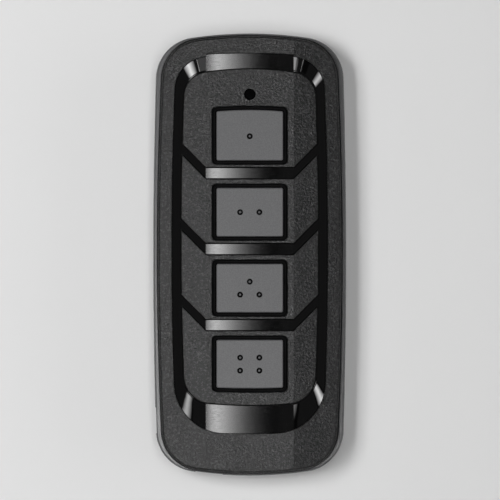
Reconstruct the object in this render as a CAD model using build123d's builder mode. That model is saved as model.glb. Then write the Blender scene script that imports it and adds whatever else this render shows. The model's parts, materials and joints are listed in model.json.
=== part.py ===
from build123d import *
from collections import namedtuple
from math import cos, radians, sin, tan
import os

# A four-button alarm key fob, lying on its back. All sizes are in millimetres.
# +Z points out of the front face and +Y towards the indicator lamp.

# Case outline, the widest line of the rear cover
rim_half_width = 16.375
rim_half_length = 37.5
rim_side_bow = 0.63
rim_end_bow = 1.88
rim_corner_r = 7.1

# Rear cover
rear_h = 8.0
rear_wall = 1.7
belly_z = 3.6
back_inset = 0.28
back_edge_r = 1.6
flank_inset = 0.08
rim_round_h = 0.4
rim_round_w = 0.25
label_side_inset = 6.375
label_end_inset = 22.5
label_y = 1.5
label_depth = 0.2
label_corner_r = 1.5

# Seam between the covers: the visible rim beside it and the rebate that the front cover drops into
seam_gap = 0.22
seam_depth = 1.1
rim_side_width = 0.55
rim_end_width = 0.35
rim_side_flare = 0.36
rim_end_flare = 0.3
rim_corner_ease = 0.4
lip_depth = 1.0
lip_fit = 0.08
lip_t = 0.9

# Height of the stack inside, from the floor up to the front face
floor_t = 1.4
clip_air = 0.25
clip_t = 0.25
cell_can_h = 2.9
cell_cap_h = 0.3
spring_h = 0.5
pcb_t = 1.0
switch_base_h = 1.2
switch_cover_t = 0.2
stem_rise = 0.5
boss_drop = 0.4
mat_t = 0.8
plate_t = 1.4
recess_d = 0.9

# Front face: a flat middle strip folds down into two side facets
fold_inset = 8.945
facet_angle = 8.0
face_edge_r = 0.35
round_shares = [(0, 1), (0.3, 0.3), (1, 0)]

# Gloss band: its outer edge is set in from the front cover's edge
frame_side_width = 2.36
frame_top_width = 2.93
frame_bottom_width = 6.68
band_side_bow = 0.72
band_top_bow = 1.65
band_bottom_bow = 0.2
band_top_corner_r = 5.7
band_bottom_corner_r = 8.7
band_middle_top_bow = 0.6
band_middle_bottom_bow = 0.45
band_edge_w = 0.1
band_foot_t = 0.5
band_lip = 0.2
band_inner_edge = 0.06
band_land = 0.05
slope_lead_share = 0.1
slope_drop = 0.3
trim_gap = 0.2
trim_fit = 0.03

# Key field inside the band
field_side_width = 1.7
field_top_width = 2.7
field_bottom_width = 4.85
field_side_bow = 0.6
field_top_bow = 1.26
field_bottom_bow = 0.82
field_top_corner_r = 4.15
field_bottom_corner_r = 4.75

# Gloss bars between the keys
bar_h = 1.92
bar_raise = 0.18
bar_gap = 0.12
bar_sink = 0.1
bar_edge = 0.12
bar_rise_angle = 45.0

# Keys and their windows
key_count = 4
first_key_inset = 7.2
last_key_inset = 2.78
key_fold_inset = 1.805
key_space_y = 4.64
key_proud = 0.5
key_corner_r = 0.3
key_edge_r = 0.18
window_gap = 0.725
window_gap_y = 0.65
window_corner_r = 0.7
window_edge = 0.12
first_key_bow = 0.25
first_key_extra = 0.1
last_key_bow = 0.12

# Moulded dots on the caps
dot_r = 0.5
dot_pip_r = 0.2
dot_depth = 0.4
dot_pip_drop = 0.08
dot_pip_edge_r = 0.12
dot_pitch_x = 3.26
dot_pitch_y = 2.2
dot_shares = [
    [(0, 0)],
    [(-0.5, 0), (0.5, 0)],
    [(0, 0.5), (-0.5, -0.5), (0.5, -0.5)],
    [(-0.5, 0.5), (0.5, 0.5), (-0.5, -0.5), (0.5, -0.5)],
]

# Keypad mat
mat_margin = 0.6
mat_wall = 0.55
mat_border = 0.25
mat_pad_h = 0.3
mat_web_t = 0.3
mat_web_w = 0.5
mat_collar_gap = 0.28
mat_collar_w = 0.2
mat_collar_h = 1.0
mat_boss_r = 1.5
mat_corner_r = 1.0

# Indicator
lamp_inset = 4.23
lamp_hole_r = 0.98
pipe_fit = 0.03
pipe_sink = 1.0
pipe_edge_r = 0.12
pipe_collar_r = 1.2
pipe_collar_t = 0.6
led_half_x = 0.6
led_half_y = 0.95
led_h = 0.8
led_lens_h = 0.35
led_lens_edge_r = 0.17
led_air = 0.2

# Circuit board
pcb_air = 0.16
pcb_end_air = 0.3
pcb_corner_r = 1.5
post_r = 1.5
post_pin_r = 0.7
post_pin_fit = 0.08
post_pin_rise = 0.3
post_inset_x = 1.7
post_top_inset_y = 2.8
post_bottom_inset_y = 6.6

# Screws and their bosses
screw_side_inset = 6.2
screw_end_inset = 5.9
screw_head_r = 1.9
screw_head_h = 1.2
screw_head_edge_r = 0.4
screw_tip_edge = 0.4
screw_r = 1.0
screw_tip_air = 0.3
screw_seat_z = 1.6
screw_air = 0.1
head_air = 0.3
pilot_r = 0.85
pilot_fit = 0.02
pilot_roof_t = 0.6
front_boss_r = 2.3
rear_boss_r = 2.7
drive_w = 0.45
drive_l = 2.2
drive_depth = 0.7

# Corner passage for a key ring
bar_wall = 1.9
passage_w = 2.6
passage_h = 3.0
passage_wall = 1.1
passage_skin = 1.1
passage_roof_air = 0.2
side_mouth_inset = 7.2
side_mouth_l = 4.4
end_mouth_inset = 7.175
end_mouth_l = 4.6
mouth_notch = 0.17

# Coin cell and its contacts
cell_r = 10.0
cell_cap_r = 8.8
cell_edge_r = 0.4
cell_end_inset = 12.6
cell_rib_air = 0.25
cell_rib_t = 0.8
cell_rib_h = 2.0
clip_half_width = 3.0
clip_end_air = 0.5
clip_foot_l = 1.4
spring_t = 0.15
spring_half_width = 1.5
spring_half_length = 4.0
spring_foot_l = 1.5

# Switches
switch_half = 2.6
switch_corner_r = 0.4
well_r = 2.0
well_floor_t = 0.4
dome_air = 0.1
dome_t = 0.08
dome_foot_w = 0.2
dome_h = 0.36
stem_r = 1.0
stem_collar_r = 1.5
stem_collar_t = 0.25
stem_nub_r = 0.5
stem_fit = 0.08
ear_half = 0.9
ear_t = 0.15
ear_h = 0.8

# Circuit pieces
control_half_x = 2.5
control_half_y = 1.95
control_h = 1.5
control_share = 0.366
radio_half = 1.5
radio_h = 0.9
radio_side_share = 0.42
radio_share = 0.63
crystal_half_x = 1.6
crystal_half_y = 1.25
crystal_h = 0.8
chip_edge = 0.15
passive_half_x = 0.8
passive_half_y = 0.4
passive_h = 0.5
passive_inset = 2.9
passive_pitch = 3.0
passive_count = 6
loop_wire_r = 0.35
loop_inset = 3.0
loop_end_inset = 14.6
loop_rise = 1.2
loop_bend_r = 0.8

# Overrun of the cuts that have to run past a face
over = 1.0

# Levels that follow from the stack
cell_z = floor_t + clip_air + clip_t
pcb_z = cell_z + cell_can_h + cell_cap_h + spring_h
board_z = pcb_z + pcb_t
switch_top_z = board_z + switch_base_h + switch_cover_t
stem_top_z = switch_top_z + stem_rise
mat_z = stem_top_z + boss_drop
ceiling_z = mat_z + mat_t
field_z = ceiling_z + plate_t
face_z = field_z + recess_d
ledge_z = rear_h - seam_depth
lip_z = ledge_z - lip_depth
key_z = ceiling_z + mat_pad_h
key_top_z = field_z + key_proud

# Places that follow from the outline
fold_x = rim_half_width - fold_inset
key_half_x = fold_x - key_fold_inset
label_half_width = rim_half_width - label_side_inset
label_half_length = rim_half_length - label_end_inset
screw_x = rim_half_width - screw_side_inset
screw_y = rim_half_length - screw_end_inset
screw_places = [(-screw_x, screw_y), (screw_x, screw_y), (screw_x, -screw_y)]

# A barrel is a long shape with gently bowed sides and ends and round corners
Barrel = namedtuple(
    "Barrel", "half_x top bottom side_bow top_bow bottom_bow top_r bottom_r"
)


def grown(shape, by):
    """The same barrel with its edge moved out by a distance, or in where that is negative."""
    return Barrel(
        shape.half_x + by,
        shape.top + by,
        shape.bottom - by,
        shape.side_bow,
        shape.top_bow,
        shape.bottom_bow,
        shape.top_r + by,
        shape.bottom_r + by,
    )


def draw_barrel(shape, mode=Mode.ADD):
    """Draws a barrel in the open sketch."""
    corner_x = shape.half_x - shape.side_bow
    top_y = shape.top - shape.top_bow
    bottom_y = shape.bottom + shape.bottom_bow
    middle_y = (top_y + bottom_y) / 2
    with BuildSketch(mode=Mode.PRIVATE) as barrel:
        with BuildLine():
            ThreePointArc((-corner_x, top_y), (0, shape.top), (corner_x, top_y))
            ThreePointArc((corner_x, top_y), (shape.half_x, middle_y), (corner_x, bottom_y))
            ThreePointArc((corner_x, bottom_y), (0, shape.bottom), (-corner_x, bottom_y))
            ThreePointArc((-corner_x, bottom_y), (-shape.half_x, middle_y), (-corner_x, top_y))
        make_face()
        fillet(barrel.vertices().group_by(Axis.Y)[-1], shape.top_r)
        fillet(barrel.vertices().group_by(Axis.Y)[0], shape.bottom_r)
    add(barrel.sketch, mode=mode)


rim = Barrel(
    rim_half_width,
    rim_half_length,
    -rim_half_length,
    rim_side_bow,
    rim_end_bow,
    rim_end_bow,
    rim_corner_r,
    rim_corner_r,
)
front_edge = Barrel(
    rim_half_width - rim_side_width - seam_gap,
    rim_half_length - rim_end_width - seam_gap,
    rim_end_width + seam_gap - rim_half_length,
    rim_side_bow + rim_side_flare,
    rim_end_bow - rim_end_flare,
    rim_end_bow - rim_end_flare,
    rim_corner_r - rim_corner_ease,
    rim_corner_r - rim_corner_ease,
)
band_edge = Barrel(
    front_edge.half_x - frame_side_width,
    front_edge.top - frame_top_width,
    front_edge.bottom + frame_bottom_width,
    band_side_bow,
    band_top_bow,
    band_bottom_bow,
    band_top_corner_r,
    band_bottom_corner_r,
)
field_edge = Barrel(
    band_edge.half_x - field_side_width,
    band_edge.top - field_top_width,
    band_edge.bottom + field_bottom_width,
    field_side_bow,
    field_top_bow,
    field_bottom_bow,
    field_top_corner_r,
    field_bottom_corner_r,
)
band_middle = band_edge._replace(
    top_bow=band_middle_top_bow, bottom_bow=band_middle_bottom_bow
)
rear_inside = grown(rim, -rear_wall)
lip_outside = grown(rear_inside, -lip_fit)
lip_inside = grown(lip_outside, -lip_t)

# Places that follow from the key field
keys_top = field_edge.top - first_key_inset
keys_bottom = field_edge.bottom + last_key_inset
key_half_y = (keys_top - keys_bottom - (key_count - 1) * key_space_y) / key_count / 2
key_pitch = 2 * key_half_y + key_space_y
key_rows = [keys_top - key_half_y - n * key_pitch for n in range(key_count)]
lamp_y = field_edge.top - lamp_inset

# Places that follow from the room between the bosses and inside the lip
pcb_half_x = lip_inside.half_x - lip_inside.side_bow - pcb_air
pcb_half_y = screw_y - rear_boss_r - pcb_end_air
cell_y = pcb_half_y - cell_end_inset - cell_r


def facet_plane(side, depth):
    """A plane a depth below the middle strip or a side facet, with plan places as its own."""
    if side == 0:
        return Plane.XY.offset(face_z - depth)
    slope = radians(facet_angle)
    return Plane(
        origin=(side * fold_x * (1 - cos(slope)), 0, face_z - depth + fold_x * sin(slope)),
        x_dir=(cos(slope), 0, -side * sin(slope)),
        z_dir=(side * sin(slope), 0, cos(slope)),
    )


def keep_facet(side):
    """Clips the open sketch to the middle strip or to one side of it."""
    if side == 0:
        Rectangle(2 * fold_x, 4 * rim_half_length, mode=Mode.INTERSECT)
    else:
        with Locations((side * (fold_x + rim_half_width), 0)):
            Rectangle(2 * rim_half_width, 4 * rim_half_length, mode=Mode.INTERSECT)


def push_facets(depth, amount, draw, mode=Mode.ADD):
    """Draws a sketch on each part of the folded face and pushes it straight up or down."""
    for side in (-1, 0, 1):
        with BuildSketch(facet_plane(side, depth)) as profile:
            draw(side)
            keep_facet(side)
        extrude(profile.sketch, amount=amount, dir=(0, 0, 1), mode=mode)


def loft_sections(sections, mode=Mode.ADD):
    """Joins sketches one after another by straight walls."""
    for pair in zip(sections[:-1], sections[1:]):
        loft(pair, ruled=True, mode=mode)


def loft_facet(side, steps, mode=Mode.ADD):
    """Joins outlines at several depths below one part of the folded face."""
    sections = []
    for depth, draw in steps:
        with BuildSketch(facet_plane(side, depth)) as section:
            draw(side)
            keep_facet(side)
        sections.append(section.sketch)
    loft_sections(sections, mode)


def loft_facets(steps, mode=Mode.ADD):
    """Joins outlines at several depths below the whole folded face."""
    for side in (-1, 0, 1):
        loft_facet(side, steps, mode)


def barrel_step(depth, shape):
    """A depth below the folded face, and the barrel drawn there."""
    return depth, lambda side: draw_barrel(shape)


def band_step(depth, by):
    """A depth below the folded face, and the band's outer edge moved out by a distance."""
    return depth, lambda side: draw_barrel(grown(band_outline(side), by))


def band_outline(side):
    """The band's outer edge, which is straighter across the middle strip."""
    return band_middle if side == 0 else band_edge


def draw_ring(outer, inner):
    """Draws the ring between two barrels."""
    draw_barrel(outer)
    draw_barrel(inner, mode=Mode.SUBTRACT)


def draw_bar(key_y, margin):
    """Draws the angled bar under a key out to the middle of the band, widened by a margin."""
    reach = (band_edge.half_x + field_edge.half_x) / 2
    climb = (reach - fold_x) * tan(radians(bar_rise_angle))
    half = bar_h / 2 + margin
    y = key_y - key_pitch / 2 + bar_raise
    with BuildLine() as edge:
        Polyline(
            (-reach, y + half + climb),
            (-fold_x, y + half),
            (fold_x, y + half),
            (reach, y + half + climb),
            (reach, y - half + climb),
            (fold_x, y - half),
            (-fold_x, y - half),
            (-reach, y - half + climb),
            close=True,
        )
    make_face(edge.edges())


def draw_bars(margin):
    """Draws the three bars, each widened by a margin."""
    for key_y in key_rows[:-1]:
        draw_bar(key_y, margin)


def draw_key(number, margin_x, margin_y, corner_r, mode=Mode.ADD):
    """Draws a key's outline, whose end follows the field's bow on the first and last key."""
    y = key_rows[number]
    first = number == 0
    last = number == key_count - 1
    half_x = key_half_x + margin_x
    top_y = y + key_half_y + margin_y + (first_key_extra if first else 0)
    bottom_y = y - key_half_y - margin_y + (last_key_bow if last else 0)
    with BuildSketch(mode=Mode.PRIVATE) as outline:
        with BuildLine():
            if first:
                ThreePointArc((-half_x, top_y), (0, top_y + first_key_bow), (half_x, top_y))
            else:
                Line((-half_x, top_y), (half_x, top_y))
            Line((half_x, top_y), (half_x, bottom_y))
            if last:
                ThreePointArc((half_x, bottom_y), (0, bottom_y - last_key_bow), (-half_x, bottom_y))
            else:
                Line((half_x, bottom_y), (-half_x, bottom_y))
            Line((-half_x, bottom_y), (-half_x, top_y))
        make_face()
        fillet(outline.vertices(), corner_r)
    add(outline.sketch, mode=mode)


# Front cover: the folded face on a skirt, with a lip that drops inside the rear cover
channel_depth = recess_d + band_foot_t
slope_foot = grown(field_edge, trim_gap + band_lip)
slope_rim = grown(band_edge, -band_land)
slope_head = Barrel(
    *(high + slope_lead_share * (high - low) for high, low in zip(slope_rim, slope_foot))
)


def draw_channel(side):
    """Draws the channel round the key field that the band sits in."""
    draw_ring(band_outline(side), field_edge)


def draw_band(side):
    """Draws the band with its clearances."""
    draw_ring(grown(band_outline(side), -trim_fit), grown(field_edge, trim_gap))


def draw_inside(side):
    """Draws the room inside the lip, less the screw bosses."""
    draw_barrel(lip_inside)
    with Locations(*screw_places):
        Circle(front_boss_r, mode=Mode.SUBTRACT)


with BuildPart() as front_cover:
    push_facets(face_edge_r, ledge_z - face_z, lambda side: draw_barrel(front_edge))
    loft_facets(
        [
            barrel_step(face_edge_r * down, grown(front_edge, -face_edge_r * inward))
            for down, inward in round_shares
        ]
    )
    split(bisect_by=Plane.XY.offset(ledge_z), keep=Keep.TOP)
    with BuildSketch(Plane.XY.offset(lip_z)):
        draw_barrel(lip_outside)
    extrude(amount=lip_depth)
    push_facets(
        recess_d, recess_d, lambda side: draw_barrel(band_outline(side)), mode=Mode.SUBTRACT
    )
    loft_facets([band_step(0, band_edge_w), band_step(band_edge_w, 0)], mode=Mode.SUBTRACT)
    push_facets(channel_depth, channel_depth, draw_channel, mode=Mode.SUBTRACT)
    push_facets(channel_depth, channel_depth, lambda side: draw_bars(bar_gap), mode=Mode.SUBTRACT)
    push_facets(face_z - ceiling_z, lip_z - ceiling_z - over, draw_inside, mode=Mode.SUBTRACT)
    for number in range(key_count):
        with BuildSketch(Plane.XY.offset(ceiling_z - over)):
            draw_key(number, window_gap, window_gap_y, window_corner_r)
        extrude(amount=plate_t + 2 * over, mode=Mode.SUBTRACT)
        for rise in (-window_edge, 0):
            margin = window_edge + rise
            with BuildSketch(Plane.XY.offset(field_z + rise)):
                draw_key(
                    number,
                    window_gap + margin,
                    window_gap_y + margin,
                    window_corner_r + margin,
                )
        loft(ruled=True, mode=Mode.SUBTRACT)
    with Locations((0, lamp_y, field_z)):
        Hole(lamp_hole_r)
    with BuildSketch(Plane.XY.offset(lip_z)):
        with Locations(*screw_places):
            Circle(pilot_r)
    extrude(amount=ceiling_z - pilot_roof_t - lip_z, mode=Mode.SUBTRACT)

# Gloss trim: the sloping band and the bars, in one piece. Each end of the band has one flat slope
# across the middle strip, which runs on down to the bowed edge of the key field, and the slopes
# of the side facets follow the band's round corners.
drop_share = slope_drop / recess_d
drop_top_y = slope_foot.top - drop_share * (slope_rim.top - slope_foot.top)
drop_bottom_y = slope_foot.bottom - drop_share * (slope_rim.bottom - slope_foot.bottom)
with BuildPart() as gloss_trim:
    push_facets(channel_depth, channel_depth, draw_band)
    for side in (-1, 1):
        loft_facet(
            side,
            [
                barrel_step(-slope_lead_share * recess_d, slope_head),
                barrel_step(recess_d, slope_foot),
            ],
            mode=Mode.SUBTRACT,
        )
    with BuildSketch(Plane.YZ):
        with BuildLine():
            Polyline(
                (slope_rim.top, face_z),
                (drop_top_y, field_z - slope_drop),
                (drop_bottom_y, field_z - slope_drop),
                (slope_rim.bottom, face_z),
                close=True,
            )
        make_face()
    extrude(amount=fold_x, both=True, mode=Mode.SUBTRACT)
    loft_facets(
        [
            barrel_step(
                recess_d + band_inner_edge * down,
                grown(field_edge, trim_gap + band_inner_edge * outward),
            )
            for down, outward in round_shares
        ],
        mode=Mode.SUBTRACT,
    )
    push_facets(channel_depth, band_foot_t - bar_sink - bar_edge, lambda side: draw_bars(0))
    for key_y in key_rows[:-1]:
        loft_facets(
            [
                (
                    recess_d + bar_sink + bar_edge * down,
                    lambda side, inward=inward: draw_bar(key_y, -bar_edge * inward),
                )
                for down, inward in round_shares
            ]
        )

# Rear cover: a tray with a rounded rim and a passage round its lower left corner
inner_bar_wall = bar_wall + passage_w
block_top_z = pcb_z - passage_roof_air
side_mouth_low_y = side_mouth_inset - rim_half_length
side_mouth_high_y = side_mouth_low_y + side_mouth_l
end_mouth_left_x = end_mouth_inset - rim_half_width
end_mouth_right_x = end_mouth_left_x + end_mouth_l
post_x = pcb_half_x - post_inset_x
post_places = [
    (side * post_x, y)
    for side in (-1, 1)
    for y in (pcb_half_y - post_top_inset_y, post_bottom_inset_y - pcb_half_y)
]


def draw_mouths(depth):
    """Draws the passage's two mouths, from outside the case in to a depth."""
    with BuildLine() as at_side:
        Polyline(
            (-rim_half_width - over, side_mouth_low_y),
            (-rim_half_width - over, side_mouth_high_y),
            (-rim_half_width + depth, side_mouth_high_y),
            (-rim_half_width + depth, side_mouth_low_y),
            close=True,
        )
    make_face(at_side.edges())
    with BuildLine() as at_end:
        Polyline(
            (end_mouth_left_x, -rim_half_length - over),
            (end_mouth_left_x, -rim_half_length + depth),
            (end_mouth_right_x, -rim_half_length + depth),
            (end_mouth_right_x, -rim_half_length - over),
            close=True,
        )
    make_face(at_end.edges())


def keep_corner(margin):
    """Clips the open sketch to the lower left corner, out to the mouths' far edges."""
    with Locations((end_mouth_right_x + margin, side_mouth_high_y + margin)):
        Rectangle(
            2 * rim_half_width,
            2 * rim_half_length,
            align=(Align.MAX, Align.MAX),
            mode=Mode.INTERSECT,
        )


with BuildPart() as rebate:
    push_facets(0, ledge_z - face_z, lambda side: draw_barrel(grown(front_edge, seam_gap)))
    split(bisect_by=Plane.XY.offset(ledge_z), keep=Keep.TOP)

with BuildPart() as rear_cover:
    outside = [(0, -back_inset), (belly_z, 0)]
    for down, inward in reversed(round_shares):
        outside.append((rear_h - rim_round_h * down, -flank_inset - rim_round_w * inward))
    flank_sections = []
    for z, by in outside:
        with BuildSketch(Plane.XY.offset(z), mode=Mode.PRIVATE) as flank:
            draw_barrel(grown(rim, by))
        flank_sections.append(flank.sketch)
    loft_sections(flank_sections)
    fillet(rear_cover.faces().sort_by(Axis.Z)[0].edges(), back_edge_r)

    with BuildSketch(Plane.XY.offset(floor_t)):
        draw_barrel(rear_inside)
    extrude(amount=rear_h, mode=Mode.SUBTRACT)
    add(rebate.part, mode=Mode.SUBTRACT)

    # Screw bosses, board posts and the rib round the cell
    with BuildSketch(Plane.XY.offset(floor_t)):
        with Locations(*screw_places):
            Circle(rear_boss_r)
        draw_barrel(grown(rim, -rear_wall / 2), mode=Mode.INTERSECT)
    extrude(amount=lip_z - floor_t)
    with BuildSketch(Plane.XY.offset(floor_t)):
        with Locations(*post_places):
            Circle(post_r)
    extrude(amount=pcb_z - floor_t)
    with BuildSketch(Plane.XY.offset(floor_t)):
        with Locations(*post_places):
            Circle(post_pin_r)
    extrude(amount=board_z + post_pin_rise - floor_t)
    with BuildSketch(Plane.XY.offset(floor_t)):
        with Locations((0, cell_y)):
            Circle(cell_r + cell_rib_air + cell_rib_t)
            Circle(cell_r + cell_rib_air, mode=Mode.SUBTRACT)
            Rectangle(
                2 * (clip_half_width + clip_end_air),
                2 * (cell_r + cell_rib_air + cell_rib_t + over),
                mode=Mode.SUBTRACT,
            )
    extrude(amount=cell_rib_h)

    # The passage: a curved wall inside the corner, bored through from mouth to mouth
    with BuildSketch(Plane.XY.offset(floor_t)):
        draw_barrel(grown(rim, -rear_wall / 2))
        draw_barrel(grown(rim, -inner_bar_wall - passage_wall), mode=Mode.SUBTRACT)
        keep_corner(passage_wall)
    extrude(amount=block_top_z - floor_t)
    with BuildSketch(Plane.XY.offset(passage_skin)):
        draw_barrel(grown(rim, -bar_wall))
        draw_barrel(grown(rim, -inner_bar_wall), mode=Mode.SUBTRACT)
        keep_corner(0)
        draw_mouths(bar_wall + passage_w / 2)
    extrude(amount=passage_h, mode=Mode.SUBTRACT)
    with BuildSketch():
        draw_mouths(rim_corner_r)
        draw_barrel(grown(rim, -mouth_notch), mode=Mode.SUBTRACT)
    extrude(amount=rear_h, mode=Mode.SUBTRACT)

    # Back: screw recesses and a shallow label recess
    with BuildSketch():
        with Locations(*screw_places):
            Circle(screw_head_r + head_air)
    extrude(amount=screw_seat_z, mode=Mode.SUBTRACT)
    with BuildSketch():
        with Locations(*screw_places):
            Circle(screw_r + screw_air)
    extrude(amount=lip_z, mode=Mode.SUBTRACT)
    with BuildSketch():
        with Locations((0, label_y)):
            RectangleRounded(2 * label_half_width, 2 * label_half_length, label_corner_r)
    extrude(amount=label_depth, mode=Mode.SUBTRACT)


def make_button(number):
    """A satin key cap with rounded edges and its moulded dots."""
    with BuildPart() as button:
        with BuildSketch(Plane.XY.offset(key_z)) as outline:
            draw_key(number, 0, 0, key_corner_r)
        extrude(outline.sketch, amount=key_top_z - key_z)
        fillet(button.faces().sort_by(Axis.Z)[-1].edges(), key_edge_r)
        places = [
            (x * dot_pitch_x, key_rows[number] + y * dot_pitch_y)
            for x, y in dot_shares[number]
        ]
        with BuildSketch(Plane.XY.offset(key_top_z - dot_depth)) as wells:
            with Locations(*places):
                Circle(dot_r)
        extrude(wells.sketch, amount=dot_depth, mode=Mode.SUBTRACT)
        with BuildSketch(Plane.XY.offset(key_top_z - dot_depth)) as pips:
            with Locations(*places):
                Circle(dot_pip_r)
        extrude(pips.sketch, amount=dot_depth - dot_pip_drop)
        pip_tops = button.faces().filter_by(Plane.XY).group_by(Axis.Z)[-2]
        fillet(pip_tops.edges(), dot_pip_edge_r)
    return button


buttons = [make_button(number) for number in range(key_count)]

# Keypad mat: a silicone boot that stands on the board, with a soft pad under each cap and a
# collar round it that keeps dirt out of the window's gap
mat_half_x = key_half_x + window_gap + mat_margin
mat_top_y = keys_top + first_key_extra + first_key_bow + window_gap_y + mat_margin
mat_bottom_y = keys_bottom - window_gap_y - mat_margin
with BuildPart() as keypad_mat:
    for z, inset, height, step_mode in (
        (board_z, 0, ceiling_z - board_z, Mode.ADD),
        (board_z, mat_wall, mat_z - board_z, Mode.SUBTRACT),
    ):
        with BuildSketch(Plane.XY.offset(z)):
            with Locations((0, (mat_top_y + mat_bottom_y) / 2)):
                RectangleRounded(
                    2 * (mat_half_x - inset),
                    mat_top_y - mat_bottom_y - 2 * inset,
                    mat_corner_r - inset,
                )
        extrude(amount=height, mode=step_mode)
    for number in range(key_count):
        with BuildSketch(Plane.XY.offset(ceiling_z)):
            draw_key(number, mat_border, mat_border, key_corner_r + mat_border)
        extrude(amount=mat_pad_h)
        with BuildSketch(Plane.XY.offset(ceiling_z)):
            for gap, mode in (
                (mat_collar_gap + mat_collar_w, Mode.ADD),
                (mat_collar_gap, Mode.SUBTRACT),
            ):
                draw_key(number, gap, gap, key_corner_r + gap, mode)
        extrude(amount=mat_collar_h)
        with BuildSketch(Plane.XY.offset(mat_z)):
            half_web = mat_web_w / 2
            draw_key(
                number,
                mat_border + half_web,
                mat_border + half_web,
                key_corner_r + mat_border + half_web,
            )
            draw_key(
                number,
                mat_border - half_web,
                mat_border - half_web,
                key_corner_r + mat_border - half_web,
                mode=Mode.SUBTRACT,
            )
        extrude(amount=mat_t - mat_web_t, mode=Mode.SUBTRACT)
        with BuildSketch(Plane.XY.offset(stem_top_z)):
            with Locations((0, key_rows[number])):
                Circle(mat_boss_r)
        extrude(amount=boss_drop)

# Light pipe over the indicator lamp
with BuildPart() as light_pipe:
    pipe_r = lamp_hole_r - pipe_fit
    pipe_foot_z = board_z + led_h + led_lens_h + led_air
    with BuildSketch(Plane.XY.offset(pipe_foot_z)):
        with Locations((0, lamp_y)):
            Circle(pipe_r)
    extrude(amount=field_z - pipe_sink - pipe_foot_z)
    with BuildSketch(Plane.XY.offset(ceiling_z)):
        with Locations((0, lamp_y)):
            Circle(pipe_collar_r)
    extrude(amount=-pipe_collar_t)
    fillet(light_pipe.edges().sort_by(Axis.Z)[-1], pipe_edge_r)

with BuildPart() as led:
    with BuildSketch(Plane.XY.offset(board_z)):
        with Locations((0, lamp_y)):
            Rectangle(2 * led_half_x, 2 * led_half_y)
    extrude(amount=led_h)
    with BuildSketch(Plane.XY.offset(board_z + led_h)):
        with Locations((0, lamp_y)):
            Circle(led_half_x - chip_edge)
    extrude(amount=led_lens_h)
    fillet(led.edges().sort_by(Axis.Z)[-1], led_lens_edge_r)

# Circuit board on the posts' pins
with BuildPart() as pcb:
    with BuildSketch(Plane.XY.offset(pcb_z)):
        RectangleRounded(2 * pcb_half_x, 2 * pcb_half_y, pcb_corner_r)
        with Locations(*post_places):
            Circle(post_pin_r + post_pin_fit, mode=Mode.SUBTRACT)
    extrude(amount=pcb_t)


def make_switch_base(y):
    """The plastic body of a tactile switch, with the well that its dome snaps in."""
    with BuildPart() as base:
        with BuildSketch(Plane((0, y, board_z))) as outline:
            RectangleRounded(2 * switch_half, 2 * switch_half, switch_corner_r)
        extrude(outline.sketch, amount=switch_base_h)
        with BuildSketch(Plane((0, y, board_z + well_floor_t))) as well:
            Circle(well_r)
        extrude(well.sketch, amount=switch_base_h, mode=Mode.SUBTRACT)
    return base


def make_switch_cover(y):
    """The pressed steel cover of a tactile switch, with an ear bent down each side."""
    top_z = board_z + switch_base_h
    with BuildPart() as cover:
        with BuildSketch(Plane((0, y, top_z))) as plate:
            RectangleRounded(2 * switch_half, 2 * switch_half, switch_corner_r)
            Rectangle(2 * (switch_half + ear_t), 2 * ear_half)
            Circle(stem_r + stem_fit, mode=Mode.SUBTRACT)
        extrude(plate.sketch, amount=switch_cover_t)
        with BuildSketch(Plane((0, y, top_z))) as ears:
            Rectangle(2 * (switch_half + ear_t), 2 * ear_half)
            Rectangle(2 * switch_half, 2 * ear_half, mode=Mode.SUBTRACT)
        extrude(ears.sketch, amount=-ear_h)
    return cover


def make_switch_dome(y):
    """The thin steel snap dome inside a tactile switch."""
    foot_r = well_r - dome_air
    with BuildPart() as dome:
        with BuildSketch(Plane((0, y, board_z + well_floor_t), (1, 0, 0), (0, -1, 0))) as half:
            for r, height, mode in (
                (foot_r, dome_h, Mode.ADD),
                (foot_r - dome_foot_w, dome_h - dome_t, Mode.SUBTRACT),
            ):
                with BuildLine() as arch:
                    ThreePointArc((-r, 0), (0, height), (r, 0))
                    Line((-r, 0), (r, 0))
                make_face(arch.edges(), mode=mode)
            Rectangle(foot_r, dome_h, align=(Align.MIN, Align.MIN), mode=Mode.INTERSECT)
        revolve(half.sketch.faces(), axis=Axis((0, y, 0), (0, 0, 1)))
    return dome


def make_switch_stem(y):
    """The plunger of a tactile switch: stem, collar under the cover, and nub on the dome."""
    collar_z = board_z + switch_base_h - stem_collar_t
    dome_top_z = board_z + well_floor_t + dome_h
    with BuildPart() as stem:
        for r, low_z, high_z in (
            (stem_nub_r, dome_top_z, collar_z),
            (stem_collar_r, collar_z, board_z + switch_base_h),
            (stem_r, board_z + switch_base_h, stem_top_z),
        ):
            with BuildSketch(Plane((0, y, low_z))) as disc:
                Circle(r)
            extrude(disc.sketch, amount=high_z - low_z)
    return stem


# Coin cell: a can with the smaller cap of the other pole on top
with BuildPart() as battery_cell:
    with BuildSketch(Plane.XY.offset(cell_z)):
        with Locations((0, cell_y)):
            Circle(cell_r)
    extrude(amount=cell_can_h)
    fillet(battery_cell.edges().sort_by(Axis.Z)[0], cell_edge_r)
    with BuildSketch(Plane.XY.offset(cell_z + cell_can_h)):
        with Locations((0, cell_y)):
            Circle(cell_cap_r)
    extrude(amount=cell_cap_h)

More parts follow.
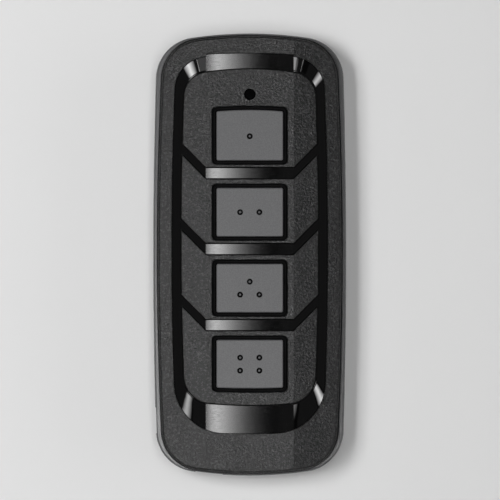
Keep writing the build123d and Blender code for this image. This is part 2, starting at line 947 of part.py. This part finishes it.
# Strap under the cell, with a leg and a foot at each end up to the board
with BuildPart() as battery_clip:
    leg_y = cell_r + clip_end_air
    with BuildSketch(Plane.YZ):
        with BuildLine():
            Polyline(
                (cell_y - leg_y - clip_t - clip_foot_l, pcb_z),
                (cell_y - leg_y - clip_t - clip_foot_l, pcb_z - clip_t),
                (cell_y - leg_y - clip_t, pcb_z - clip_t),
                (cell_y - leg_y - clip_t, cell_z - clip_t),
                (cell_y + leg_y + clip_t, cell_z - clip_t),
                (cell_y + leg_y + clip_t, pcb_z - clip_t),
                (cell_y + leg_y + clip_t + clip_foot_l, pcb_z - clip_t),
                (cell_y + leg_y + clip_t + clip_foot_l, pcb_z),
                (cell_y + leg_y, pcb_z),
                (cell_y + leg_y, cell_z),
                (cell_y - leg_y, cell_z),
                (cell_y - leg_y, pcb_z),
                close=True,
            )
        make_face()
    extrude(amount=clip_half_width, both=True)

# Leaf spring between the board and the cell's cap
with BuildPart() as battery_spring:
    cap_z = cell_z + cell_can_h + cell_cap_h
    with BuildSketch(Plane.XZ.offset(-cell_y)):
        with BuildLine():
            Polyline(
                (-spring_half_length, pcb_z),
                (-spring_half_length, pcb_z - spring_t),
                (spring_foot_l - spring_half_length, pcb_z - spring_t),
                (spring_half_length - spring_foot_l, cap_z),
                (spring_half_length, cap_z),
                (spring_half_length, cap_z + spring_t),
                (spring_half_length - spring_foot_l, cap_z + spring_t),
                (spring_foot_l - spring_half_length, pcb_z),
                close=True,
            )
        make_face()
    extrude(amount=spring_half_width, both=True)


def make_chip(half_x, half_y, height, x, y):
    """A moulded chip under the board, with a chamfer round its outer face."""
    with BuildPart() as chip:
        with BuildSketch(Plane((x, y, pcb_z))) as outline:
            Rectangle(2 * half_x, 2 * half_y)
        extrude(outline.sketch, amount=-height)
        chamfer(chip.faces().sort_by(Axis.Z)[0].edges(), chip_edge)
    return chip


cell_foot_y = cell_y - cell_r
chip_room = cell_foot_y + pcb_half_y
control_y = cell_foot_y - control_share * chip_room
radio_y = cell_foot_y - radio_share * chip_room
radio_x = radio_side_share * pcb_half_x
control_chip = make_chip(control_half_x, control_half_y, control_h, 0, control_y)
radio_chip = make_chip(radio_half, radio_half, radio_h, radio_x, radio_y)
crystal = make_chip(crystal_half_x, crystal_half_y, crystal_h, -radio_x, radio_y)

# Small resistors and capacitors in a row beside the keys
with BuildPart() as chip_passives:
    with BuildSketch(Plane.XY.offset(board_z)):
        with Locations((pcb_half_x - passive_inset, 0)):
            with GridLocations(0, passive_pitch, 1, passive_count):
                Rectangle(2 * passive_half_x, 2 * passive_half_y)
    extrude(amount=passive_h)

# Wire loop antenna standing on the board
loop_x = loop_inset - pcb_half_x
loop_half_length = pcb_half_y - loop_end_inset
with BuildPart() as antenna_loop:
    with BuildLine():
        FilletPolyline(
            (loop_x, -loop_half_length, board_z),
            (loop_x, -loop_half_length, board_z + loop_rise),
            (loop_x, loop_half_length, board_z + loop_rise),
            (loop_x, loop_half_length, board_z),
            radius=loop_bend_r,
        )
    with BuildSketch(Plane((loop_x, -loop_half_length, board_z))):
        Circle(loop_wire_r)
    sweep()

# Case screws, driven in from the back
with BuildPart() as case_screws:
    for r, low_z, high_z in (
        (screw_head_r, screw_seat_z - screw_head_h, screw_seat_z),
        (screw_r, screw_seat_z, lip_z),
        (pilot_r - pilot_fit, lip_z, ceiling_z - pilot_roof_t - screw_tip_air),
    ):
        with BuildSketch(Plane.XY.offset(low_z)):
            with Locations(*screw_places):
                Circle(r)
        extrude(amount=high_z - low_z)
    chamfer(case_screws.edges().group_by(Axis.Z)[-1], screw_tip_edge)
    fillet(case_screws.edges().group_by(Axis.Z)[0], screw_head_edge_r)
    with BuildSketch(Plane.XY.offset(screw_seat_z - screw_head_h)):
        with Locations(*screw_places):
            Rectangle(drive_w, drive_l)
            Rectangle(drive_l, drive_w)
    extrude(amount=drive_depth, mode=Mode.SUBTRACT)

pieces = {
    "rear_cover": rear_cover,
    "front_cover": front_cover,
    "gloss_trim": gloss_trim,
    "keypad_mat": keypad_mat,
    "light_pipe": light_pipe,
    "led": led,
    "pcb": pcb,
    "battery_cell": battery_cell,
    "battery_clip": battery_clip,
    "battery_spring": battery_spring,
    "control_chip": control_chip,
    "radio_chip": radio_chip,
    "crystal": crystal,
    "chip_passives": chip_passives,
    "antenna_loop": antenna_loop,
    "case_screws": case_screws,
}
for number, y in enumerate(key_rows):
    pieces[f"button_{number + 1}"] = buttons[number]
    pieces[f"switch_base_{number + 1}"] = make_switch_base(y)
    pieces[f"switch_cover_{number + 1}"] = make_switch_cover(y)
    pieces[f"switch_dome_{number + 1}"] = make_switch_dome(y)
    pieces[f"switch_stem_{number + 1}"] = make_switch_stem(y)

os.makedirs("parts", exist_ok=True)
for name, piece in pieces.items():
    piece.part.label = name
    export_step(piece.part, f"parts/{name}.step")
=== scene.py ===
import bmesh
import bpy
import json
from math import cos, pi, radians, sin, tan
from mathutils import Matrix, Vector


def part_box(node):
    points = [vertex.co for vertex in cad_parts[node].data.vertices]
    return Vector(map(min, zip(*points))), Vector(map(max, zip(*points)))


# A four-button alarm key fob on a pale table, seen square on. Lengths are in metres.

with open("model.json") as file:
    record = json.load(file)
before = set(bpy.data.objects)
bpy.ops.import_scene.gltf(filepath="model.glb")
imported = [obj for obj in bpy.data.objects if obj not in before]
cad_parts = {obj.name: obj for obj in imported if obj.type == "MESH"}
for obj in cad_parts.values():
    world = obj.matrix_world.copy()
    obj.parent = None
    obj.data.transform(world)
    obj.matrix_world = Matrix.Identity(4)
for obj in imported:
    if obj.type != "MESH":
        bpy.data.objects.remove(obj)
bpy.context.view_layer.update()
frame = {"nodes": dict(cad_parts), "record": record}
nodes = frame["nodes"]

# Photograph: its scale, and the fob's centre in its 500 by 500 pixels
IMAGE_SIDE = 500
PIXEL = 0.16896e-3
CENTRE_COLUMN = 249.75
CENTRE_ROW = 254.55
CAMERA_HEIGHT = 2.0

# Tops of the front cover, the rear cover's rim and the key caps
FACE_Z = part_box("front_cover")[1][2]
RIM_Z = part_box("rear_cover")[1][2]
CAP_TOP_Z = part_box("button_1")[1][2]

# The front cover's level: its sides slope down past two folds, and the key field is sunk
FOLD_X = 7.46e-3
SIDE_SLOPE = tan(radians(8))
FIELD_DROP = 0.9e-3
EDGE_DROP = 0.2e-3
EDGE_SOFT = 0.04e-3

# Its painted shade: gaps are painted dark between two depths below the field, and walls clear of it
# between two heights above it
GAP_BEGINS = 0.06e-3
GAP_FULL = 0.14e-3
WALL_FULL = 0.1e-3
WALL_ENDS = 0.05e-3

# Rim painted paler as a sheen, and coated caps: how far below its top each begins and is full
RIM_SHEEN_BEGINS = 1.0e-3
RIM_SHEEN_FULL = 0.6e-3
COAT_BEGINS = 0.24e-3
COAT_FULL = 0.2e-3

# Grain sizes, the heights of their relief, and the angles that turn them out of line with the fob
PIT_GRAIN = 0.36e-3
FINE_PIT_GRAIN = 0.15e-3
FINE_PIT_SHARE = 0.2
FACE_RELIEF = 0.1e-3
SHELL_RELIEF = 0.016e-3
SPECKLE_GRAIN = 0.42e-3
SHEEN_GRAIN = 3e-3
HAIRLINE_GRAIN = 0.8e-3
HAIRLINE_STRETCH = (1, 9, 1)
COAT_GRAIN = 0.18e-3
CAP_GRAIN = 0.2e-3
CAP_RELIEF = 0.008e-3
MOULD_GRAIN = 0.2e-3
MOULD_RELIEF = 0.004e-3
TABLE_GRAIN = 0.4e-3
TABLE_RELIEF = 0.004e-3
GRAIN_TURN = (0.5, 0.35, 0.2)

# Noise values: most keep between the first two, the speckle turns from dark to light between the next
# two, and the hairlines reach the last
NOISE_LOW = 0.3
NOISE_HIGH = 0.7
SPECKLE_LOW = 0.52
SPECKLE_HIGH = 0.62
HAIRLINE_HIGH = 0.75

# Roughness of shaded places, the face, the rear cover and its rim, the inlay and the caps, and the
# share by which a plain finish varies
DULL = 0.9
FACE_SHEEN = (0.3, 0.36)
SHELL_SATIN = 0.46
RIM_POLISH = 0.26
HIGH_GLOSS = (0.02, 0.05)
CAP_SATIN = 0.4
ROUGHNESS_SHARE = 0.15

# Colours: the blue of a grey as a share of its red, and white
BLUE_SHARE = 1.03
WHITE = (1, 1, 1, 1)

# Table, a hair below the fob's back, the pale wall round it, and the room's even light
TABLE_HALF = 1.5
TABLE_GAP = 0.01e-3
TABLE_COLOUR = (0.7, 0.7, 0.7)
WALL_RADIUS = 1.2
WALL_HEIGHT = 0.52
WALL_SIDES = 64
WALL_GLOW = 0.8
ROOM_LIGHT = 0.05

# Strip light across its width: a dim left part up to the shoulder, a peak, and a fade to the right
PANEL_LEFT = -0.11
PANEL_SHOULDER = -0.0096
PANEL_PEAK = -0.0075
PANEL_RIGHT = 0.0062
PANEL_FADE = 0.0139
PANEL_FADE_POWER = 3.3
PANEL_DIM = 0.075

# Strip light along its length: a front length, an unlit gap and a back length
PANEL_LOW = -0.48
PANEL_FRONT_EDGE = -0.405
PANEL_FRONT_SOFT = 0.006
PANEL_GAP_EDGE = -0.1
PANEL_HIGH = 0.19
PANEL_HEIGHT = 0.5
PANEL_STRENGTH = 7.4

# Soft cards that only the gloss sees: their directions and half sizes, in degrees seen from the fob
CARD_DISTANCE = 1.4
CARDS = {
    "card_front_right": dict(
        azimuth=-69, elevation=53, half_width=9.5, half_height=6, strength=9.5, even_up=True
    ),
    "card_front_left": dict(azimuth=-145, elevation=45, half_width=9, half_height=9, strength=6.5),
    "card_back_right": dict(azimuth=60, elevation=60, half_width=8, half_height=9, strength=6.2),
    "card_back_left": dict(azimuth=154, elevation=53, half_width=9.5, half_height=10, strength=9.0),
    "card_low_right": dict(azimuth=0, elevation=15, half_width=30, half_height=9, strength=12.0),
}

# Soft lamps that point at the fob, with sides in metres. The front one is for the sheen alone.
LAMPS = {
    "lamp_left": dict(place=(-0.34, 0.08, 1.0), side_x=0.32, side_y=0.32, watts=6.0),
    "lamp_top": dict(place=(-0.1, 0.0, 1.2), side_x=0.6, side_y=0.6, watts=13.0),
    "lamp_front": dict(
        place=(-0.067, -0.073, 0.45), side_x=0.08, side_y=0.07, watts=0.8, sheen_only=True
    ),
    "lamp_right": dict(place=(0.9, 0.0, 0.36), side_x=1.1, side_y=0.45, watts=2.0),
}


def grey(value):
    """A neutral colour with a touch of blue."""
    return value, value, BLUE_SHARE * value


class Surface:
    """A material and the kinds of shader node that finishes and glows have in common."""

    def __init__(self, name):
        self.material = bpy.data.materials.new(name)
        self.material.use_nodes = True
        self.nodes = self.material.node_tree.nodes
        self.links = self.material.node_tree.links

    def feed(self, socket, value):
        """Sets a socket to a plain number, or links another node's output to it."""
        if isinstance(value, (int, float)):
            socket.default_value = value
        else:
            self.links.new(value, socket)

    def coordinates(self, kind):
        """Texture coordinates, by the name of their kind."""
        return self.nodes.new("ShaderNodeTexCoord").outputs[kind]

    def axis(self, name):
        """One of the object's coordinates, in metres."""
        node = self.nodes.new("ShaderNodeSeparateXYZ")
        self.feed(node.inputs["Vector"], self.coordinates("Object"))
        return node.outputs[name]

    def math(self, operation, first, second=0):
        """Arithmetic on one or two values, each plain or linked."""
        node = self.nodes.new("ShaderNodeMath")
        node.operation = operation
        self.feed(node.inputs[0], first)
        self.feed(node.inputs[1], second)
        return node.outputs["Value"]

    def remap(self, value, low, high, to_low=0, to_high=1, steps="SMOOTHSTEP"):
        """A value's range from low to high spread over another range, and held beyond it."""
        node = self.nodes.new("ShaderNodeMapRange")
        node.interpolation_type = steps
        sockets = ("Value", "From Min", "From Max", "To Min", "To Max")
        for socket, number in zip(sockets, (value, low, high, to_low, to_high)):
            self.feed(node.inputs[socket], number)
        return node.outputs["Result"]


class Finish(Surface):
    """A material whose shader's own sockets carry what is uniform, and nodes what varies.

    The plain colour and roughness hold wherever no node gives them.
    """

    def __init__(self, name, colour, roughness, **sockets):
        super().__init__(name)
        self.shader = self.nodes["Principled BSDF"]
        self.shader.inputs["Base Color"].default_value = (*colour, 1)
        self.shader.inputs["Roughness"].default_value = roughness
        for socket, value in sockets.items():
            self.shader.inputs[socket.replace("_", " ")].default_value = value

    def turned(self, stretch):
        """The object's coordinates, stretched and turned so that no face lies along the grain."""
        node = self.nodes.new("ShaderNodeMapping")
        node.inputs["Scale"].default_value = stretch
        node.inputs["Rotation"].default_value = GRAIN_TURN
        self.feed(node.inputs["Vector"], self.coordinates("Object"))
        return node.outputs["Vector"]

    def noise(self, grain, detail=2.0, rough=0.5, stretch=(1, 1, 1)):
        """Fractal noise from 0 to 1, with grains of a size in metres."""
        node = self.nodes.new("ShaderNodeTexNoise")
        node.inputs["Scale"].default_value = 1 / grain
        node.inputs["Detail"].default_value = detail
        node.inputs["Roughness"].default_value = rough
        self.feed(node.inputs["Vector"], self.turned(stretch))
        return node.outputs["Fac"]

    def patches(self, grain, to_low, to_high):
        """Soft patches of a size in metres, between two values."""
        return self.remap(self.noise(grain), NOISE_LOW, NOISE_HIGH, to_low, to_high)

    def mixed(self, share, first, second):
        """A colour between two, each plain or linked, by a share from 0 to 1."""
        node = self.nodes.new("ShaderNodeMix")
        node.data_type = "RGBA"
        self.feed(node.inputs["Factor"], share)
        colours = [socket for socket in node.inputs if socket.type == "RGBA"]
        for colour, socket in zip((first, second), colours):
            if isinstance(colour, tuple):
                socket.default_value = (*colour, 1)
            else:
                self.links.new(colour, socket)
        return next(socket for socket in node.outputs if socket.type == "RGBA")

    def bump(self, height, relief, under=None):
        """Relief of a height in metres, on top of another relief."""
        node = self.nodes.new("ShaderNodeBump")
        node.inputs["Distance"].default_value = relief
        self.feed(node.inputs["Height"], height)
        if under is not None:
            self.feed(node.inputs["Normal"], under)
        return node.outputs["Normal"]

    def spark_grain(self, relief):
        """The pitted relief of a spark-eroded mould, two sizes of pit over each other."""
        coarse = self.bump(self.noise(PIT_GRAIN, detail=3, rough=0.65), relief)
        return self.bump(self.noise(FINE_PIT_GRAIN, detail=1), FINE_PIT_SHARE * relief, under=coarse)

    def colour_from(self, value):
        self.feed(self.shader.inputs["Base Color"], value)

    def roughness_from(self, value):
        self.feed(self.shader.inputs["Roughness"], value)

    def normal_from(self, value):
        self.feed(self.shader.inputs["Normal"], value)


def painted_shade_mask(face):
    """Painted shade: from 0 on the front cover's face and key field to 1 in its gaps and on its walls.
    """
    past_fold = face.math("SUBTRACT", face.math("ABSOLUTE", face.axis("X")), FOLD_X)
    slope_drop = face.math("MULTIPLY", face.math("MAXIMUM", past_fold, 0), SIDE_SLOPE)
    depth = face.math("SUBTRACT", FACE_Z, face.math("ADD", slope_drop, face.axis("Z")))
    in_gap = face.remap(depth, FIELD_DROP + GAP_BEGINS, FIELD_DROP + GAP_FULL)
    past_edge = face.remap(depth, EDGE_DROP - EDGE_SOFT, EDGE_DROP + EDGE_SOFT)
    above_field = face.remap(depth, FIELD_DROP - WALL_FULL, FIELD_DROP - WALL_ENDS, 1, 0)
    return face.math("MAXIMUM", in_gap, face.math("MULTIPLY", past_edge, above_field))


def face_finish():
    """Front cover: black plastic with a speckled grain, with painted shade darkening its gaps and walls,
    which are dull too.
    """
    face = Finish("face_grain", grey(0.01), 0.38, Specular_IOR_Level=0.4)
    painted_shade = painted_shade_mask(face)
    speckle = face.remap(face.noise(SPECKLE_GRAIN, detail=3, rough=0.85), SPECKLE_LOW, SPECKLE_HIGH)
    grained = face.mixed(speckle, grey(0.0002), grey(0.03))
    # Painted shade: the gaps and walls are painted near black where shade falls
    face.colour_from(face.mixed(painted_shade, grained, grey(0.0003)))
    sheen = face.patches(SHEEN_GRAIN, *FACE_SHEEN)
    face.roughness_from(face.math("MAXIMUM", sheen, face.math("MULTIPLY", painted_shade, DULL)))
    face.normal_from(face.spark_grain(FACE_RELIEF))
    return face.material


def shell_finish():
    """Rear cover: the same grain, but faint, smoother along the rim and painted paler there as a sheen.
    """
    shell = Finish("shell_grain", grey(0.014), 0.4, Specular_IOR_Level=0.4)
    rim_sheen = shell.remap(shell.axis("Z"), RIM_Z - RIM_SHEEN_BEGINS, RIM_Z - RIM_SHEEN_FULL)
    # Painted sheen: the rim is painted paler in place of its bright reflection
    shell.colour_from(shell.mixed(rim_sheen, grey(0.012), grey(0.08)))
    shell.roughness_from(shell.remap(rim_sheen, 0, 1, SHELL_SATIN, RIM_POLISH))
    shell.normal_from(shell.spark_grain(SHELL_RELIEF))
    return shell.material


def gloss_finish():
    """High gloss black inlay, with hairline scratches that dull it a little here and there."""
    gloss = Finish("gloss_black", grey(0.002), 0.03, Specular_IOR_Level=1.0)
    hairlines = gloss.noise(HAIRLINE_GRAIN, detail=4, stretch=HAIRLINE_STRETCH)
    gloss.roughness_from(gloss.remap(hairlines, NOISE_LOW, HAIRLINE_HIGH, *HIGH_GLOSS))
    return gloss.material


def cap_finish():
    """Key caps moulded in black, with a satin grey coat on top, finer than the face."""
    cap = Finish("cap_satin", grey(0.095), CAP_SATIN, Specular_IOR_Level=0.25)
    coat = cap.mixed(cap.patches(COAT_GRAIN, 0, 1), grey(0.088), grey(0.11))
    coated = cap.remap(cap.axis("Z"), CAP_TOP_Z - COAT_BEGINS, CAP_TOP_Z - COAT_FULL)
    cap.colour_from(cap.mixed(coated, grey(0.0005), coat))
    cap.roughness_from(cap.remap(coated, 0, 1, DULL, CAP_SATIN))
    cap.normal_from(cap.bump(cap.noise(CAP_GRAIN), CAP_RELIEF))
    return cap.material


def plain_finish(name, colour, roughness, **sockets):
    """A moulded or plated surface with a fine grain and uneven roughness."""
    finish = Finish(name, colour, roughness, **sockets)
    finish.normal_from(finish.bump(finish.noise(MOULD_GRAIN), MOULD_RELIEF))
    low, high = (1 - ROUGHNESS_SHARE) * roughness, (1 + ROUGHNESS_SHARE) * roughness
    finish.roughness_from(finish.patches(8 * MOULD_GRAIN, low, high))
    return finish.material


finishes = {
    "case_face": face_finish(),
    "case_shell": shell_finish(),
    "gloss_inlay": gloss_finish(),
    "key_cap": cap_finish(),
    "silicone": plain_finish("silicone_matt", grey(0.006), 0.7, Specular_IOR_Level=0.04),
    "smoked_lens": plain_finish("lens_smoked", grey(0.001), 0.5, Specular_IOR_Level=0.01),
    "lamp_body": plain_finish("lamp_epoxy", (0.85, 0.82, 0.7), 0.3),
    "board": plain_finish("board_resist", (0.02, 0.12, 0.05), 0.35),
    "cell_steel": plain_finish("cell_nickel", (0.62, 0.62, 0.6), 0.25, Metallic=1.0),
    "contact_metal": plain_finish("contact_tin", (0.66, 0.64, 0.58), 0.3, Metallic=1.0),
    "chip_body": plain_finish("chip_epoxy", (0.03, 0.03, 0.03), 0.5),
    "can_metal": plain_finish("can_gold", (0.7, 0.68, 0.62), 0.25, Metallic=1.0),
    "passive_body": plain_finish("passive_ceramic", (0.42, 0.34, 0.24), 0.4),
    "wire": plain_finish("wire_tin", (0.72, 0.72, 0.7), 0.25, Metallic=1.0),
    "screw_steel": plain_finish("screw_zinc", (0.2, 0.2, 0.2), 0.35, Metallic=1.0),
    "switch_body": plain_finish("switch_nylon", (0.03, 0.03, 0.03), 0.45),
    "switch_steel": plain_finish("switch_stainless", (0.65, 0.65, 0.63), 0.28, Metallic=1.0),
    "switch_stem": plain_finish("stem_nylon", (0.5, 0.08, 0.05), 0.4),
}
for part in frame["record"]["subparts"]:
    materials = nodes[part["node"]].data.materials
    materials.clear()
    materials.append(finishes[part["material_slot"]])


class Glow(Surface):
    """A white emitting material, whose strength comes from its nodes."""

    def __init__(self, name):
        super().__init__(name)
        self.nodes.clear()
        self.emission = self.nodes.new("ShaderNodeEmission")
        self.emission.inputs["Color"].default_value = WHITE
        self.out = self.nodes.new("ShaderNodeOutputMaterial")
        self.feed(self.out.inputs["Surface"], self.emission.outputs["Emission"])

    def clear_from_front(self):
        """Lets everything through that meets the front of the surface."""
        backfacing = self.nodes.new("ShaderNodeNewGeometry").outputs["Backfacing"]
        choice = self.nodes.new("ShaderNodeMixShader")
        self.feed(choice.inputs["Fac"], backfacing)
        self.feed(choice.inputs[1], self.nodes.new("ShaderNodeBsdfTransparent").outputs["BSDF"])
        self.feed(choice.inputs[2], self.emission.outputs["Emission"])
        self.feed(self.out.inputs["Surface"], choice.outputs["Shader"])

    def ramp(self, value, low, high, to_low=0, to_high=1):
        """A value's range spread evenly over another range, and held beyond it."""
        return self.remap(value, low, high, to_low, to_high, steps="LINEAR")

    def strength_from(self, value):
        self.feed(self.emission.inputs["Strength"], value)


def shape_sheet(half_x, half_y, matrix):
    """A flat rectangle placed by a matrix, with a UV map from 0 to 1."""
    sheet = bmesh.new()
    sheet.loops.layers.uv.new("UVMap")
    bmesh.ops.create_grid(sheet, x_segments=1, y_segments=1, size=1, calc_uvs=True)
    bmesh.ops.scale(sheet, vec=(half_x, half_y, 1), verts=sheet.verts)
    bmesh.ops.transform(sheet, matrix=matrix, verts=sheet.verts)
    return sheet


def make_staging(name, mesh, material):
    """Writes a bmesh into a new object at the origin, which isn't part of the fob."""
    data = bpy.data.meshes.new(name)
    mesh.to_mesh(data)
    mesh.free()
    data.materials.append(material)
    made = bpy.data.objects.new(name, data)
    bpy.context.scene.collection.objects.link(made)
    return made


def make_table():
    """A pale table top, whose faint unevenness keeps it from looking like paper."""
    table = Finish("table_top", TABLE_COLOUR, 0.6, Specular_IOR_Level=0.2)
    table.normal_from(table.bump(table.noise(TABLE_GRAIN), TABLE_RELIEF))
    sheet = shape_sheet(TABLE_HALF, TABLE_HALF, Matrix.Translation((0, 0, -TABLE_GAP)))
    make_staging("table", sheet, table.material)


def make_wall():
    """A pale wall round the table, which lights nothing and is clear from outside."""
    glow = Glow("wall_pale")
    path = glow.nodes.new("ShaderNodeLightPath").outputs
    seen = glow.math("MAXIMUM", path["Is Camera Ray"], path["Is Glossy Ray"])
    seen = glow.math("MAXIMUM", seen, path["Is Transmission Ray"])
    glow.strength_from(glow.math("MULTIPLY", seen, WALL_GLOW))
    glow.clear_from_front()
    ring = bmesh.new()
    bmesh.ops.create_cone(
        ring,
        segments=WALL_SIDES,
        radius1=WALL_RADIUS,
        radius2=WALL_RADIUS,
        depth=WALL_HEIGHT,
        cap_ends=False,
    )
    bmesh.ops.translate(ring, vec=(0, 0, WALL_HEIGHT / 2), verts=ring.verts)
    wall = make_staging("wall", ring, glow.material)
    wall.visible_diffuse = False
    wall.visible_shadow = False


def make_panel():
    """A strip light overhead in two lengths, brightest along one line and fading to the right."""
    glow = Glow("panel_glow")
    across, along = glow.axis("X"), glow.axis("Y")
    front = glow.ramp(along, PANEL_FRONT_EDGE, PANEL_FRONT_EDGE - PANEL_FRONT_SOFT)
    back = glow.math("GREATER_THAN", along, PANEL_GAP_EDGE)
    dim = glow.math("MULTIPLY", front, PANEL_DIM)
    left = glow.ramp(across, PANEL_SHOULDER, PANEL_PEAK, dim, 1)
    right = glow.ramp(across, PANEL_RIGHT, PANEL_RIGHT - PANEL_FADE)
    right = glow.math("POWER", right, PANEL_FADE_POWER)
    lit = glow.math("MULTIPLY", glow.math("MULTIPLY", left, right), glow.math("MAXIMUM", front, back))
    glow.strength_from(glow.math("MULTIPLY", lit, PANEL_STRENGTH))
    centre = Vector(((PANEL_LEFT + PANEL_RIGHT) / 2, (PANEL_LOW + PANEL_HIGH) / 2, PANEL_HEIGHT))
    facing_down = Matrix.Translation(centre) @ Matrix.Rotation(pi, 4, "X")
    sheet = shape_sheet((PANEL_RIGHT - PANEL_LEFT) / 2, (PANEL_HIGH - PANEL_LOW) / 2, facing_down)
    panel = make_staging("lamp_panel", sheet, glow.material)
    panel.visible_camera = False


def make_card(name, azimuth, elevation, half_width, half_height, strength, even_up=False):
    """A card with a soft round edge, or with soft sides alone where it is even upwards."""
    glow = Glow(name)
    centred = glow.nodes.new("ShaderNodeMapping")
    centred.inputs["Location"].default_value = (-1, 0 if even_up else -1, 0)
    centred.inputs["Scale"].default_value = (2, 0 if even_up else 2, 0)
    glow.feed(centred.inputs["Vector"], glow.coordinates("UV"))
    fade = glow.nodes.new("ShaderNodeTexGradient")
    fade.gradient_type = "SPHERICAL"
    glow.feed(fade.inputs["Vector"], centred.outputs["Vector"])
    glow.strength_from(glow.math("MULTIPLY", fade.outputs["Fac"], strength))
    turn, rise = radians(azimuth), radians(elevation)
    towards = Vector((cos(rise) * cos(turn), cos(rise) * sin(turn), sin(rise)))
    facing = (-towards).to_track_quat("Z", "Y").to_matrix().to_4x4()
    sheet = shape_sheet(
        CARD_DISTANCE * tan(radians(half_width)),
        CARD_DISTANCE * tan(radians(half_height)),
        Matrix.Translation(CARD_DISTANCE * towards) @ facing,
    )
    card = make_staging(name, sheet, glow.material)
    card.visible_camera = False
    card.visible_diffuse = False
    card.visible_shadow = False


def make_lamp(name, place, side_x, side_y, watts, sheen_only=False):
    """A soft lamp that points at the fob, and lights either its colours or its sheen."""
    data = bpy.data.lights.new(name, "AREA")
    data.shape = "RECTANGLE"
    data.size = side_x
    data.size_y = side_y
    data.energy = watts
    lamp = bpy.data.objects.new(name, data)
    lamp.location = place
    lamp.rotation_euler = (-Vector(place)).to_track_quat("-Z", "Y").to_euler()
    lamp.visible_camera = False
    lamp.visible_glossy = sheen_only
    lamp.visible_diffuse = not sheen_only
    bpy.context.scene.collection.objects.link(lamp)


def make_world():
    """Dim even light from the room."""
    world = bpy.data.worlds.new("room")
    world.use_nodes = True
    background = world.node_tree.nodes["Background"]
    background.inputs["Color"].default_value = WHITE
    background.inputs["Strength"].default_value = ROOM_LIGHT
    bpy.context.scene.world = world


def make_camera():
    """A camera straight overhead, with the photograph's scale at the front face."""
    data = bpy.data.cameras.new("camera")
    distance = CAMERA_HEIGHT - FACE_Z
    data.lens = data.sensor_width * distance / (IMAGE_SIDE * PIXEL)
    camera = bpy.data.objects.new("camera", data)
    camera.location = (
        (IMAGE_SIDE / 2 - CENTRE_COLUMN) * PIXEL,
        (CENTRE_ROW - IMAGE_SIDE / 2) * PIXEL,
        CAMERA_HEIGHT,
    )
    bpy.context.scene.collection.objects.link(camera)
    bpy.context.scene.camera = camera


make_table()
make_wall()
make_panel()
for name, card in CARDS.items():
    make_card(name, **card)
for name, lamp in LAMPS.items():
    make_lamp(name, **lamp)
make_world()
make_camera()
bpy.context.scene.view_settings.view_transform = "Standard"
